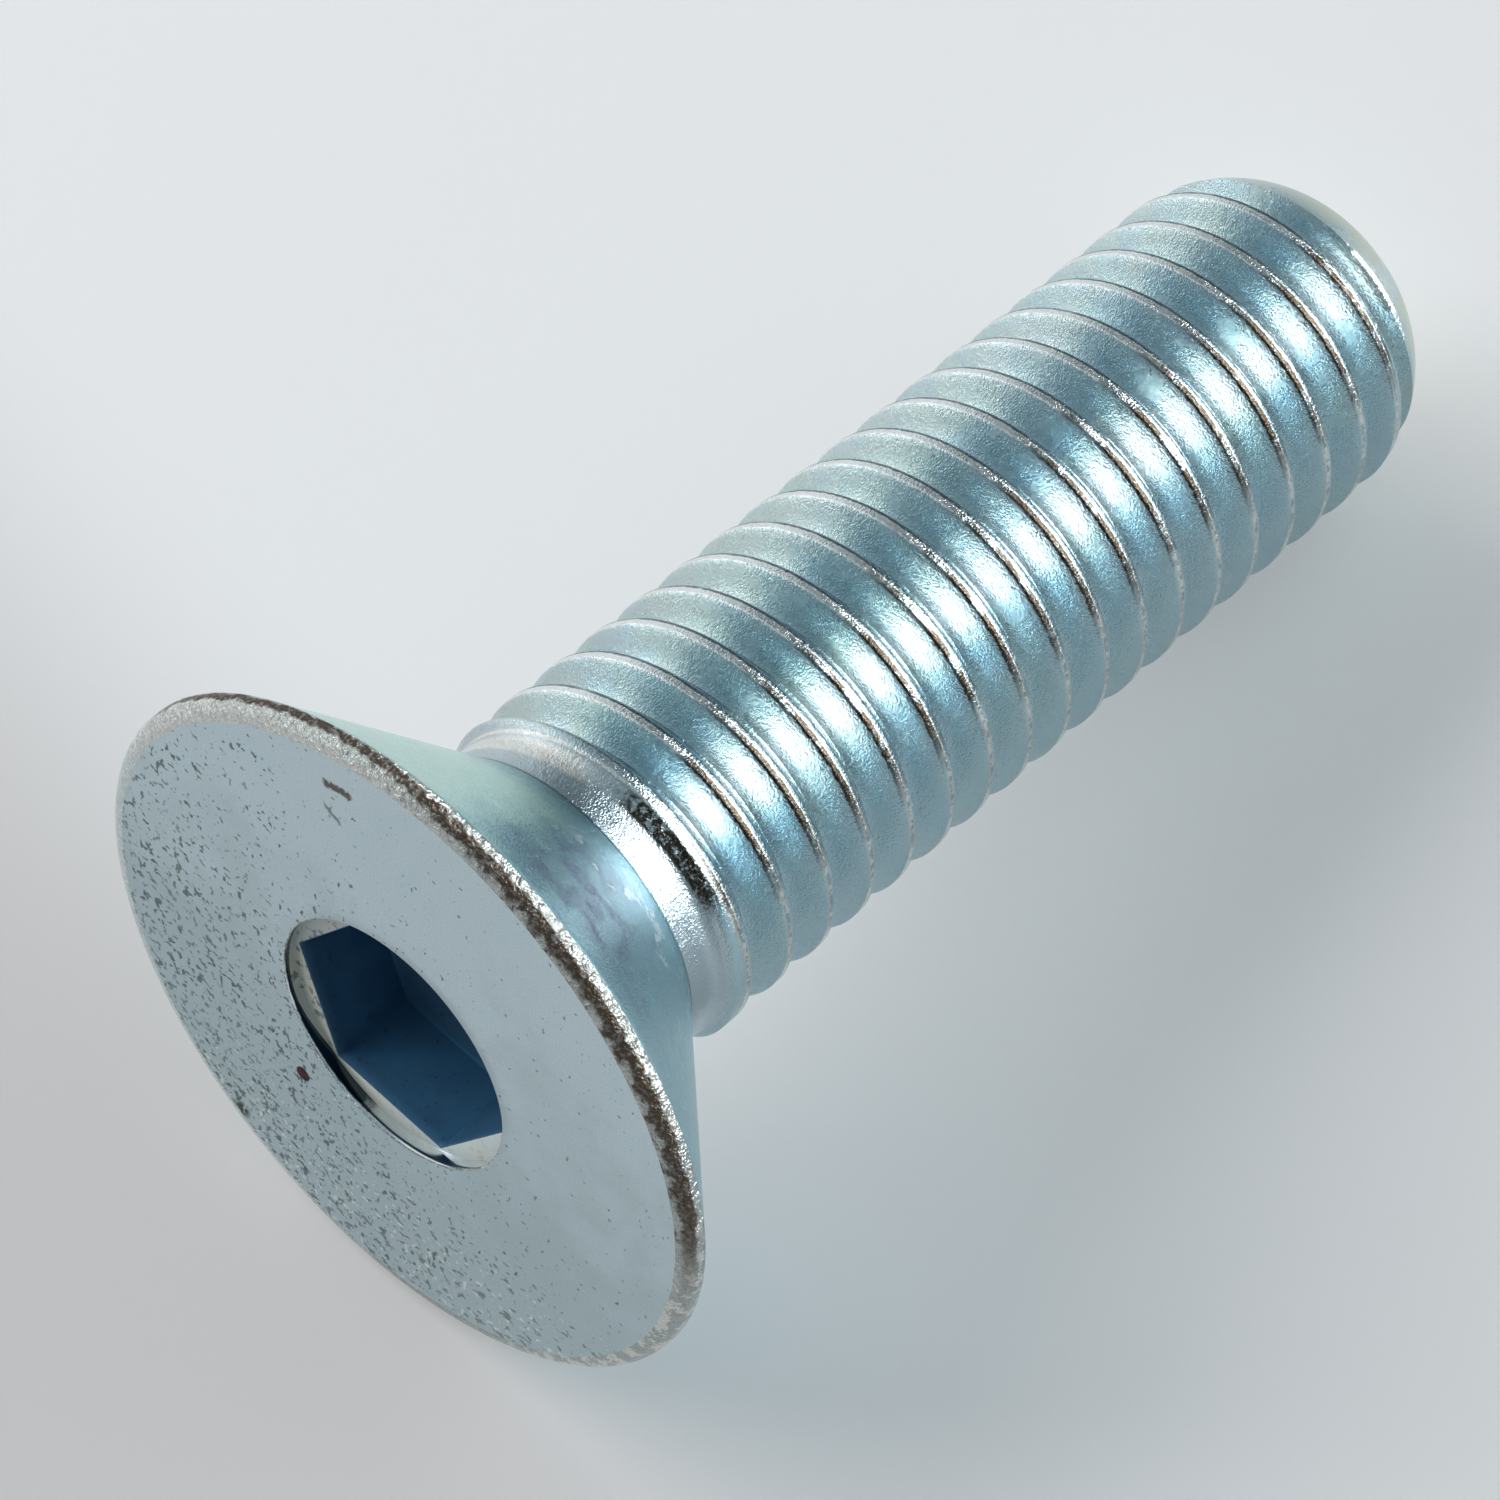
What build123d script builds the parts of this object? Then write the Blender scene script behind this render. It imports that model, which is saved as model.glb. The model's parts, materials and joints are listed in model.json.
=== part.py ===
from build123d import *
import os
from math import atan, ceil, cos, radians, sin, tan

# Countersunk socket screw with a full-length rolled thread, cold formed and rolled as one piece of steel.
# It is modelled standing on its own axis, with z = 0 at the head's face and z rising to the point, and is
# then laid down as it comes to rest: on the rim of its head and on a crest near the end of its thread.
# In the finished frame +X runs from the head to the point, z = 0 is the surface that it lies on, and the
# origin is at the bottom middle of the box that it fills. Azimuths turn about the axis from its upper side.

# ---- driving dimensions, in millimetres and degrees ----
thread_diameter = 8.0  # nominal, over the crests
thread_pitch = 1.25
flank_angle = 60.0  # between the two flanks of a groove
crest_allowance = 0.05  # the rolled crests stand this far inside the nominal radius
crest_flat = 0.3  # width of a crest's top
crest_phase = 7.12  # distance from the face to a crest on the upper side
runout_angle = 200.0  # a groove climbs out of the shank over this much of a turn
runout_rise = 1.5  # power by which the climb steepens
runout_sections = 9  # outlines that shape the climb

screw_length = 29.5  # face to point
point_diameter = 5.7  # flat end of the point
point_angle = 37.0  # the point's chamfer, from the axis
shoulder_drop = 0.25  # the shank falls away this much before the chamfer
shoulder_angle = 17.0  # and at this angle from the axis

head_diameter = 16.0
countersink_angle = 90.0  # across the cone
rim_height = 0.42  # from the face to the cone
rim_bevel_width = 0.36  # the bevel between the face and the rim, across
rim_bevel_height = 0.3  # and along the axis
collar_diameter = 7.4  # plain shank under the head
collar_length = 0.73  # from the cone to the first crest's near flank

socket_across_flats = 5.0
socket_depth = 2.3  # from the face to the lower end of the flats
socket_floor_angle = 120.0  # across the hollow cone under the flats
socket_corner_azimuth = 34.5
recess_diameter = 6.0  # round recess in front of the hexagon
recess_depth = 0.34

# ---- derived sizes ----
crest_radius = thread_diameter / 2 - crest_allowance
collar_radius = collar_diameter / 2
point_radius = point_diameter / 2
head_radius = head_diameter / 2
flank_run = tan(radians(flank_angle / 2))  # axial run of a flank for each millimetre of depth
groove_width = thread_pitch - crest_flat
groove_depth = groove_width / 2 / flank_run
root_radius = crest_radius - groove_depth
shoulder_radius = crest_radius - shoulder_drop
chamfer_start = screw_length - (shoulder_radius - point_radius) / tan(radians(point_angle))
shoulder_start = chamfer_start - shoulder_drop / tan(radians(shoulder_angle))
cone_end = rim_height + (head_radius - collar_radius) / tan(radians(countersink_angle / 2))
collar_end = cone_end + collar_length
first_crest = collar_end + (crest_radius - collar_radius) * flank_run


def crest_at(azimuth, beyond):
    """Distance from the face of the first crest at this azimuth that lies beyond the given distance."""
    crest = crest_phase + thread_pitch * azimuth / 360
    return crest + thread_pitch * ceil((beyond - crest) / thread_pitch)


def blank():
    """The headed and pointed blank, before its thread and socket are formed: half its outline, turned."""
    outline = Polyline(
        (0, 0, 0),
        (head_radius - rim_bevel_width, 0, 0),
        (head_radius, 0, rim_bevel_height),
        (head_radius, 0, rim_height),
        (collar_radius, 0, cone_end),
        (collar_radius, 0, collar_end),
        (crest_radius, 0, first_crest),
        (crest_radius, 0, shoulder_start),
        (shoulder_radius, 0, chamfer_start),
        (point_radius, 0, screw_length),
        (0, 0, screw_length),
        close=True,
    )
    return revolve(make_face(outline), Axis.Z)


def groove_outline(azimuth, centre, lift):
    """A groove's outline, standing clear of the crests, at an azimuth and lifted out by a distance."""
    root = root_radius + lift
    top = crest_radius + crest_flat / 4
    half_width = (top - root) * flank_run
    upright = Plane(origin=(0, 0, centre), x_dir=(1, 0, 0), z_dir=(0, -1, 0))
    outline = Polyline((root, 0), (top, -half_width), (top, half_width), close=True)
    return Rot(0, 0, azimuth) * (upright * make_face(outline))


def thread_groove():
    """The helical groove turn by turn, from beyond the point to the first crest, and its climb out there."""
    start = first_crest + groove_width / 2
    azimuth = 360 * (start - crest_phase - thread_pitch / 2) / thread_pitch
    path = Helix(pitch=thread_pitch, height=thread_pitch, radius=(root_radius + crest_radius) / 2)
    turn = sweep(groove_outline(0, 0, 0), path=path, is_frenet=True)
    turns = ceil((screw_length + thread_pitch / 2 - start) / thread_pitch)
    climb = []
    for step in range(runout_sections):
        share = step / (runout_sections - 1)
        back = -runout_angle * share
        lift = groove_depth * share**runout_rise
        climb.append(groove_outline(back, thread_pitch * back / 360, lift))
    cutters = [Pos(0, 0, start + thread_pitch * count) * turn for count in range(turns)]
    cutters.append(Pos(0, 0, start) * loft(climb))
    return [Rot(0, 0, azimuth) * cutter for cutter in cutters]


def socket():
    """The hexagon socket with the round recess in front of it and the hollow cone at its end."""
    recess = Cylinder(recess_diameter / 2, recess_depth, align=(Align.CENTER, Align.CENTER, Align.MIN))
    hexagon = RegularPolygon(socket_across_flats / 2, 6, major_radius=False)
    flats = extrude(Rot(0, 0, socket_corner_azimuth) * hexagon, socket_depth)
    cone_height = socket_across_flats / 2 / tan(radians(socket_floor_angle / 2))
    cone = Pos(0, 0, socket_depth) * Cone(
        socket_across_flats / 2, 0, cone_height, align=(Align.CENTER, Align.CENTER, Align.MIN)
    )
    return [recess, flats, cone]


def resting_slope():
    """Angle between the axis and a plane that touches the head's rim and a crest on the lower side."""
    steepness = []
    crest = crest_at(180, first_crest)
    while crest < screw_length:
        for edge in (crest - crest_flat / 2, crest + crest_flat / 2):
            shoulder = crest_radius - (edge - shoulder_start) * tan(radians(shoulder_angle))
            chamfer = point_radius + (screw_length - edge) * tan(radians(point_angle))
            radius = min(crest_radius, shoulder, chamfer)
            steepness.append((head_radius - radius) / (edge - rim_height))
        crest += thread_pitch
    return atan(min(steepness))


def lay_down(screw):
    """The screw laid on z = 0 with its head to -X, on the rim of its head and a crest of its thread."""
    slope = resting_slope()
    along = (cos(slope), 0, -sin(slope))
    upward = (sin(slope), 0, cos(slope))
    laid = Plane(origin=(0, 0, 0), x_dir=upward, z_dir=along) * screw
    box = laid.bounding_box()
    return Pos(-box.center().X, -box.center().Y, -box.min.Z) * laid


def main():
    """Model the screw and write it."""
    screw = blank() - thread_groove() - socket()
    os.makedirs("parts", exist_ok=True)
    export_step(lay_down(screw), "parts/countersunk_screw.step")


main()
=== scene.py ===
import json
import logging
from dataclasses import dataclass, field
from enum import IntEnum
from math import atan2, cos, degrees, hypot, pi, radians, sin, sqrt, tan
from typing import Any

import bmesh
import bpy
from bmesh.types import BMEdge, BMesh, BMVert
from bpy.types import Material, Mesh, NodeSocket, Object, World
from mathutils import Matrix, Vector


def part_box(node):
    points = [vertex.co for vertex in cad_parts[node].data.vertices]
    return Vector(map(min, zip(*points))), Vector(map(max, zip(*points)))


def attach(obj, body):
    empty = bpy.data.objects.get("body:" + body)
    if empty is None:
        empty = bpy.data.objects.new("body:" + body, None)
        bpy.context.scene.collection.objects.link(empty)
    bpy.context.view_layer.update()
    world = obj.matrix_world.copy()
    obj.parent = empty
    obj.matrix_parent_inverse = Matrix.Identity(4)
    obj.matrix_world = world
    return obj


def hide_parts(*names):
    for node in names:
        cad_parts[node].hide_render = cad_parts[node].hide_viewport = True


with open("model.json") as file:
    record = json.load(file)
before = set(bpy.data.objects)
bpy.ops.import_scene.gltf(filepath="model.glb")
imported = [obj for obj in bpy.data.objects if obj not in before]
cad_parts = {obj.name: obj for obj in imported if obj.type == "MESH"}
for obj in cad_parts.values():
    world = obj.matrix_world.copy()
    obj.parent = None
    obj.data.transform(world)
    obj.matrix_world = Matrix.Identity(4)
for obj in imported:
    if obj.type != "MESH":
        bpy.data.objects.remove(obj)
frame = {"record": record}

log = logging.getLogger("countersunk_screw")

MM = 0.001

Colour = Way = tuple[float, float, float]
Band = tuple[float, float, float]  # the middles of a rise and of a fall, and half the width of each
Spot = tuple[float, float, float, float]  # radius and azimuth on the face, size and softness
Outline = list[tuple[float, float]]  # radius and distance from the face of each point

NEAR = 1e-3  # points closer than this many millimetres are one
HAIR = 1e-4  # room for rounding, in millimetres


# ---- shader graph ----


class Value:
    """An output of a shader graph, on which arithmetic adds Math nodes."""

    def __init__(self, graph: "Graph", socket: NodeSocket) -> None:
        """Wrap a socket of a graph."""
        self.graph = graph
        self.socket = socket

    def math(self, operation: str, *others: Any) -> "Value":
        """Combine this value with others by one of the Math node's operations."""
        return self.graph.math(operation, self, *others)

    def __add__(self, other: Any) -> "Value":
        """Sum."""
        return self.math("ADD", other)

    __radd__ = __add__

    def __sub__(self, other: Any) -> "Value":
        """Difference."""
        return self.math("SUBTRACT", other)

    def __rsub__(self, other: Any) -> "Value":
        """Reflected difference."""
        return self.graph.math("SUBTRACT", other, self)

    def __mul__(self, other: Any) -> "Value":
        """Product."""
        return self.math("MULTIPLY", other)

    __rmul__ = __mul__

    def __truediv__(self, other: Any) -> "Value":
        """Quotient."""
        return self.math("DIVIDE", other)

    def __rtruediv__(self, other: Any) -> "Value":
        """Reflected quotient."""
        return self.graph.math("DIVIDE", other, self)

    def either(self, other: Any) -> "Value":
        """The larger of two masks."""
        return self.math("MAXIMUM", other)

    def band(self, low: float, high: float, soft: float = 0.01) -> "Value":
        """1 between two values and 0 outside them.

        Args:
            low: the middle of the rise.
            high: the middle of the fall.
            soft: half the width of each.

        Returns:
            The mask.
        """
        return self.between(low - soft, low + soft) * self.between(high - soft, high + soft, 1.0, 0.0)

    def between(self, low: float, high: float, start: float = 0.0, end: float = 1.0) -> "Value":
        """Ease from one amount to another as this value goes from low to high.

        Args:
            low: the value at which the change begins.
            high: the value at which it ends.
            start: the amount below the change.
            end: the amount above it.

        Returns:
            The eased amount.
        """
        settings = {"interpolation_type": "SMOOTHSTEP"}
        return self.graph.node("ShaderNodeMapRange", settings, self, low, high, start, end)


class Graph:
    """The node tree of a material or of the world."""

    def __init__(self, holder: Material | World) -> None:
        """Start an empty tree.

        Args:
            holder: the material or world.
        """
        holder.use_nodes = True
        self.holder = holder
        self.tree = holder.node_tree
        self.tree.nodes.clear()

    @classmethod
    def named(cls, name: str) -> "Graph":
        """Start a new material's graph."""
        return cls(bpy.data.materials.new(name))

    def node(self, kind: str, settings: dict[str, Any] | None = None, *inputs: Any,
             out: int | str = 0, **named: Any) -> Value:
        """Add one node.

        Args:
            kind: the node's type.
            settings: properties to set first, such as an operation.
            inputs: what goes into its sockets, in order; None leaves a socket alone.
            out: the output wanted, by place or name.
            named: what goes into sockets given by name, with _ for a space.

        Returns:
            The output wanted.
        """
        node = self.tree.nodes.new(kind)
        for key, setting in (settings or {}).items():
            setattr(node, key, setting)
        for place, given in enumerate(inputs):
            self.feed(node.inputs[place], given)
        for key, given in named.items():
            self.feed(node.inputs[key.replace("_", " ")], given)
        return Value(self, node.outputs[out])

    def feed(self, socket: NodeSocket, given: Any) -> None:
        """Fill a socket.

        Args:
            socket: the socket.
            given: a number, a colour or a value.
        """
        if given is None:
            return
        if isinstance(given, Value):
            self.tree.links.new(given.socket, socket)
        elif isinstance(given, tuple) and len(given) == 3 and socket.type == "RGBA":
            socket.default_value = (*given, 1.0)
        else:
            socket.default_value = given

    def math(self, operation: str, *operands: Any) -> Value:
        """Work out one of the Math node's operations."""
        return self.node("ShaderNodeMath", {"operation": operation}, *operands)

    def parts(self, vector: Value) -> list[Value]:
        """The x, y and z of a vector."""
        return [self.node("ShaderNodeSeparateXYZ", None, vector, out=axis) for axis in range(3)]

    def mix(self, share: Any, first: Any, second: Any) -> Value:
        """Mix two colours.

        Args:
            share: how much of the second, from 0 to 1.
            first: the first colour.
            second: the second colour.

        Returns:
            The mixed colour.
        """
        node = self.tree.nodes.new("ShaderNodeMix")
        node.data_type = "RGBA"
        for place, given in ((0, share), (6, first), (7, second)):
            self.feed(node.inputs[place], given)
        return Value(self, node.outputs[2])

    def noise(self, where: Value, scale: float, detail: float = 2.0, rough: float = 0.5,
              twist: float = 0.0) -> Value:
        """Soft noise about 0.5.

        Args:
            where: the coordinates, in millimetres.
            scale: patches to a millimetre.
            detail: finer layers.
            rough: how strong the finer layers are.
            twist: distortion.

        Returns:
            The noise.
        """
        return self.node("ShaderNodeTexNoise", {"noise_dimensions": "3D"}, Vector=where, Scale=scale,
                         Detail=detail, Roughness=rough, Distortion=twist)

    def stretched(self, where: Value, scale: Way = (1.0, 1.0, 1.0), turn: Way = (0.0, 0.0, 0.0),
                  shift: Way = (0.0, 0.0, 0.0)) -> Value:
        """Coordinates moved, turned and stretched along their axes.

        Args:
            where: the coordinates.
            scale: the stretch along each axis.
            turn: the turn about each axis.
            shift: the move along each axis.

        Returns:
            The new coordinates.
        """
        return self.node("ShaderNodeMapping", {"vector_type": "POINT"}, where, shift, turn, scale)

    def finish(self, shader: Value, output: str = "ShaderNodeOutputMaterial") -> Material | World:
        """Join the shader to the output.

        Args:
            shader: the surface.
            output: the output node's type.

        Returns:
            The material or world.
        """
        end = self.tree.nodes.new(output)
        self.tree.links.new(shader.socket, end.inputs["Surface"])
        return self.holder

    def surface(self, **sockets: Any) -> Material:
        """Finish with one shader, given what goes into its sockets."""
        return self.finish(self.node("ShaderNodeBsdfPrincipled", None, **sockets))

    def metal(self, colour: Value, rough: Value, height: Value, relief: float,
              strength: float = 1.0) -> Material:
        """Finish as bare metal with a relief.

        Args:
            colour: the metal's colour.
            rough: its roughness.
            height: the shape of its relief.
            relief: how high a height of 1 is, in metres.
            strength: how strongly the relief shows.

        Returns:
            The material.
        """
        bump = self.node("ShaderNodeBump", None, Strength=strength, Distance=relief, Height=height)
        return self.surface(Base_Color=colour, Metallic=1.0, Roughness=rough, Normal=bump)


# ---- finishes ----


@dataclass(frozen=True)
class Lie:
    """Coordinates on the screw, as values for a shader: millimetres in the screw's own frame."""

    place: Value
    x: Value
    y: Value
    z: Value
    radius: Value
    turn: Value

    @classmethod
    def on(cls, graph: Graph) -> "Lie":
        """Read the coordinates from the surface.

        Args:
            graph: the graph that will use them.

        Returns:
            The coordinates. The turn is 0 on the screw's upper side.
        """
        place = graph.node("ShaderNodeAttribute", {"attribute_name": "place"}, out="Vector")
        x, y, z = graph.parts(place)
        radius = (x * x + y * y).math("SQRT")
        turn = y.math("ARCTAN2", x) / (2 * pi)
        return cls(place, x, y, z, radius, turn)

    def strip(self, turns: Band, noise: Value | None = None, wander: float = 0.0) -> Value:
        """A mask along the screw, over part of the turn round it.

        Args:
            turns: the turns between which it lies, and its softness.
            noise: what makes its edges wander, if anything does.
            wander: how far they wander.

        Returns:
            1 on the strip and 0 beside it.
        """
        turn = self.turn if noise is None else self.turn + (noise - 0.5) * wander
        return turn.band(*turns)

    def spot(self, radius: float, azimuth: float, size: float, soft: float) -> Value:
        """A round mask on the head's face.

        Args:
            radius: how far from the middle, in millimetres.
            azimuth: degrees round from the upper side.
            size: the spot's radius.
            soft: the width of its edge.

        Returns:
            1 inside the spot and 0 outside.
        """
        across = self.x - radius * cos(radians(azimuth))
        along = self.y - radius * sin(radians(azimuth))
        away = (across * across + along * along).math("SQRT")
        return away.between(size, size + soft, 1.0, 0.0)


@dataclass(frozen=True)
class ZincPlate:
    """Blue-passivated bright zinc over rolled steel, with painted shade, painted reflections and painted
    highlights laid by turn round the screw, and crests partly worn and partly painted.

    A strip lies between two turns from the upper side, a stripe between two distances from the middle of
    the nearest crest, and a climb between two distances from a line that rises round the collar.
    """

    pitch: float
    crest_phase: float
    thread_start: float
    point_start: float
    rim_end: float
    neck: float
    relief: float = 0.00003
    silver: Colour = (0.65, 0.75, 0.75)
    steel_blue: Colour = (0.53, 0.70, 0.76)
    sea_green: Colour = (0.60, 0.73, 0.69)
    slate: Colour = (0.30, 0.46, 0.535)
    pearl: Colour = (0.80, 0.90, 0.88)
    mint: Colour = (0.56, 0.80, 0.72)
    teal: Colour = (0.21, 0.47, 0.56)
    frost: Colour = (0.82, 0.93, 0.97)
    violet: Colour = (0.16, 0.23, 0.33)
    lavender: Colour = (0.56, 0.64, 0.68)
    lead: Colour = (0.33, 0.40, 0.44)
    ivory: Colour = (0.92, 0.91, 0.85)
    white: Colour = (0.92, 0.97, 0.97)
    pewter: Colour = (0.19, 0.20, 0.18)
    straw: Colour = (0.55, 0.60, 0.50)
    soot_and_shade: Colour = (0.06, 0.045, 0.03)
    inky_shade: Colour = (0.06, 0.10, 0.12)
    # turns where the lee side gets painted shade
    lee_shade_strip: Band = (0.12, 0.48, 0.03)
    # turns where the upper side gets a painted reflection
    painted_reflection_strip: Band = (-0.28, -0.07, 0.03)
    # turns where the grooves get a painted highlight
    painted_highlight_strip: Band = (0.060, 0.105, 0.018)
    shaded_strip: Band = (-0.045, 0.036, 0.022)
    front_strip: Band = (0.03, 0.175, 0.03)
    back_strip: Band = (-0.25, 0.025, 0.03)
    # turns where the crest tops are darkened with painted shade
    painted_light_strip: Band = (0.02, 0.26, 0.03)
    # head side of each crest: a faint seam all round, with painted shade on the front
    lap_and_shade_stripe: Band = (-0.145, 0.008, 0.012)
    top_stripe: Band = (-0.05, 0.045, 0.012)
    broad_top_stripe: Band = (-0.13, 0.05, 0.015)
    # point side of each crest: a line of painted shade
    point_side_shade_stripe: Band = (0.038, 0.12, 0.012)
    # turns where the cone's upper side gets a painted reflection
    mint_strip: Band = (-0.30, 0.03, 0.04)
    # turns and distances of the cone's painted dark reflection
    violet_reflection_strip: Band = (0.035, 0.125, 0.03)
    violet_reflection_at: Band = (1.0, 4.0, 0.4)
    # turns and distances of the cone's painted highlight sparkles
    sparkle_strip: Band = (0.03, 0.14, 0.03)
    sparkle_at: Band = (3.2, 4.4, 0.3)
    # turns where the collar gets painted shade in lead
    collar_shade_strip: Band = (-0.03, 0.25, 0.02)
    climb_in_a_turn: float = 1.4
    climb_foot: float = 0.30
    # where the collar's painted dark reflection lies, broken into flecks
    fleck_climb: Band = (-0.18, 0.14, 0.04)
    fleck_strip: Band = (0.032, 0.15, 0.012)
    # where the collar gets ivory painted highlights
    edge_climb: Band = (0.16, 0.22, 0.02)
    edge_strip: Band = (-0.18, 0.19, 0.02)
    painted_sheen_climb: Band = (-0.30, 0.10, 0.06)
    painted_sheen_strip: Band = (-0.2, -0.01, 0.02)

    def material(self) -> Material:
        """Build the finish.

        Returns:
            The material.
        """
        graph = Graph.named("blue_passivated_zinc")
        lie = Lie.on(graph)
        broad = graph.noise(lie.place, 0.22, 3.0, 0.55, 0.6)
        moved = graph.stretched(lie.place, shift=(7.3, 1.9, 4.1))
        drift = graph.noise(moved, 0.45, 3.0, 0.6, 0.8)
        patchy = graph.noise(lie.place, 1.3, 4.0, 0.6, 0.4)
        fine = graph.noise(lie.place, 7.0, 4.0, 0.65)
        grain = graph.noise(lie.place, 22.0, 2.0, 0.5)

        colour = graph.mix(broad.between(0.35, 0.65), self.silver, self.sea_green)
        colour = graph.mix(drift.between(0.40, 0.65, 0.1, 0.9), colour, self.steel_blue)
        # painted shade: slate over the lee side
        colour = graph.mix(lie.strip(self.lee_shade_strip, drift, 0.06) * 0.6, colour, self.slate)
        # painted reflection: the upper side paler, in pearl
        colour = graph.mix(lie.strip(self.painted_reflection_strip) * 0.15, colour, self.pearl)
        shank = lie.z.between(self.point_start + 0.4, self.point_start + 1.2, 1.0, 0.2)
        # painted highlight: frost along the grooves on the lit side, weaker on the point
        colour = graph.mix(lie.strip(self.painted_highlight_strip, fine, 0.08) * shank * 0.8, colour, self.frost)
        # painted shade: slate along the upper side
        colour = graph.mix(lie.strip(self.shaded_strip, fine, 0.10) * 0.68, colour, self.slate)
        colour = self.cone(lie, colour, drift, patchy)
        colour = self.collar(lie, colour, fine)
        colour = self.crests(lie, colour, fine, patchy)
        blunt = lie.z.between(self.point_start + 0.8, self.point_start + 2.0)
        colour = graph.mix(blunt * patchy.between(0.40, 0.55, 0.15, 0.95), colour, self.straw)
        colour = graph.mix(grain.between(0.50, 0.72) * 0.3, colour, self.slate)

        plain = lie.z.band(self.neck, self.thread_start - 0.2, 0.06)
        rough = patchy.between(0.3, 0.7, 0.21, 0.29) + plain * 0.08 + blunt * 0.08
        smooth = lie.z.between(self.neck - 0.1, self.neck + 0.1, 0.8, 1.0)
        height = (grain * 0.65 + fine * 0.48) * smooth + plain * patchy * 1.6
        return graph.metal(colour, rough, height, self.relief)

    def crests(self, lie: Lie, colour: Value, fine: Value, patchy: Value) -> Value:
        """Paint the crests: ivory tops, partly worn and partly painted highlight, with pewter painted
        shade on the front and white painted highlight on the back; a black band of painted shade towards
        the head on the front, over a faint seam all round; an inky line of painted shade towards the
        point.

        Args:
            lie: where on the screw.
            colour: the colour so far.
            fine: fine noise.
            patchy: slower noise.

        Returns:
            The colour.
        """
        graph = lie.z.graph
        off = ((lie.z - self.crest_phase) / self.pitch - lie.turn + 0.5).math("FRACT")
        off = off * self.pitch - self.pitch / 2 + (fine - 0.5) * 0.10
        threaded = lie.z.between(self.thread_start - 0.1, self.thread_start + 0.2)
        threaded = threaded * lie.z.between(self.point_start + 0.6, self.point_start + 1.3, 1.0, 0.0)
        front = lie.strip(self.front_strip, patchy, 0.1)
        back = lie.strip(self.back_strip, patchy, 0.1)
        # a faint dark seam all round, with painted shade over it on the front
        lap_and_shade = off.band(*self.lap_and_shade_stripe) * threaded * (front * 0.97 + 0.03)
        # crest tops: ivory, partly worn and partly painted highlight; pewter painted shade on the front,
        # white painted highlight on the back
        top = off.band(*self.top_stripe).either(off.band(*self.broad_top_stripe) * back) * threaded
        # painted shade: a dark line on the point side of each crest, on the front and back
        point_side_shade = off.band(*self.point_side_shade_stripe) * threaded * (front * 0.9 + back * 0.8)
        painted_light = lie.strip(self.painted_light_strip, patchy, 0.1)
        worn = graph.mix(painted_light * fine.between(0.42, 0.54, 1.0, 0.35), self.ivory, self.pewter)
        worn = graph.mix(back, worn, self.white)
        colour = graph.mix(top * fine.between(0.40, 0.54, 0.5, 1.0).either(back * 0.9), colour, worn)
        colour = graph.mix(lap_and_shade * patchy.between(0.35, 0.5, 0.5, 1.0), colour, self.soot_and_shade)
        return graph.mix(point_side_shade * patchy.between(0.3, 0.5, 0.6, 1.0), colour, self.inky_shade)

    def cone(self, lie: Lie, colour: Value, drift: Value, patchy: Value) -> Value:
        """Tint the cone: teal, with mint as a painted reflection above, a violet-tinted painted dark
        reflection on one side and painted highlight sparkles beside it.

        Args:
            lie: where on the screw.
            colour: the colour so far.
            drift: slow noise.
            patchy: finer noise.

        Returns:
            The colour.
        """
        graph = lie.z.graph
        here = lie.z.band(self.rim_end, self.neck, 0.04)
        upper = lie.strip(self.mint_strip, drift, 0.12)
        # painted dark reflection, tinted violet, on one side of the cone
        violet_reflection = lie.strip(self.violet_reflection_strip, drift, 0.10) * lie.z.band(*self.violet_reflection_at)
        colour = graph.mix(here * 0.75, colour, self.teal)
        # painted reflection: mint on the cone's upper side, weaker towards the neck
        colour = graph.mix(here * upper * lie.z.between(3.4, 4.3, 0.85, 0.25), colour, self.mint)
        colour = graph.mix(here * violet_reflection * patchy.between(0.42, 0.58, 0.35, 1.0), colour, self.violet)
        # painted highlight: frost sparkles beside the dark reflection
        sparkle = lie.strip(self.sparkle_strip) * lie.z.band(*self.sparkle_at) * patchy.between(0.52, 0.62)
        return graph.mix(here * sparkle * 0.8, colour, self.frost)

    def collar(self, lie: Lie, colour: Value, fine: Value) -> Value:
        """Tint the plain collar: lavender, with lead as painted shade on one side, painted shade in the
        crease, black flecks of painted dark reflection and ivory painted highlights where the thread
        starts.

        Args:
            lie: where on the screw.
            colour: the colour so far.
            fine: fine noise.

        Returns:
            The colour.
        """
        graph = lie.z.graph
        here = lie.z.band(self.neck, self.thread_start - 0.1, 0.06)
        # painted shade: lead over one side of the collar, less towards the thread
        plain = graph.mix(lie.strip(self.collar_shade_strip, fine, 0.04), self.lavender, self.lead)
        plain = graph.mix(lie.z.between(self.neck + 0.4, self.neck + 0.8, 0.0, 0.6), plain, self.lavender)
        colour = graph.mix(here * 0.85, colour, plain)
        # painted shade in the crease at the neck
        crease = lie.z.band(self.neck - 0.06, self.neck + 0.03, 0.03)
        colour = graph.mix(crease * 0.75, colour, self.inky_shade)
        climb = lie.z - lie.turn * self.climb_in_a_turn - (self.thread_start - self.climb_foot)
        climb = climb + (fine - 0.5) * 0.12
        # painted dark reflection, broken into black flecks, on one side of the collar's rise
        flecked_shade = climb.band(*self.fleck_climb) * lie.strip(self.fleck_strip, fine, 0.06)
        colour = graph.mix(flecked_shade * fine.between(0.40, 0.47), colour, self.soot_and_shade)
        # painted highlight: an ivory line where the thread starts, and an ivory sheen on the upper side
        edge = climb.band(*self.edge_climb) * lie.strip(self.edge_strip)
        painted_sheen = climb.band(*self.painted_sheen_climb) * lie.strip(self.painted_sheen_strip, fine, 0.06)
        return graph.mix(edge.either(painted_sheen) * fine.between(0.38, 0.50, 0.5, 0.9), colour, self.ivory)


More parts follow.
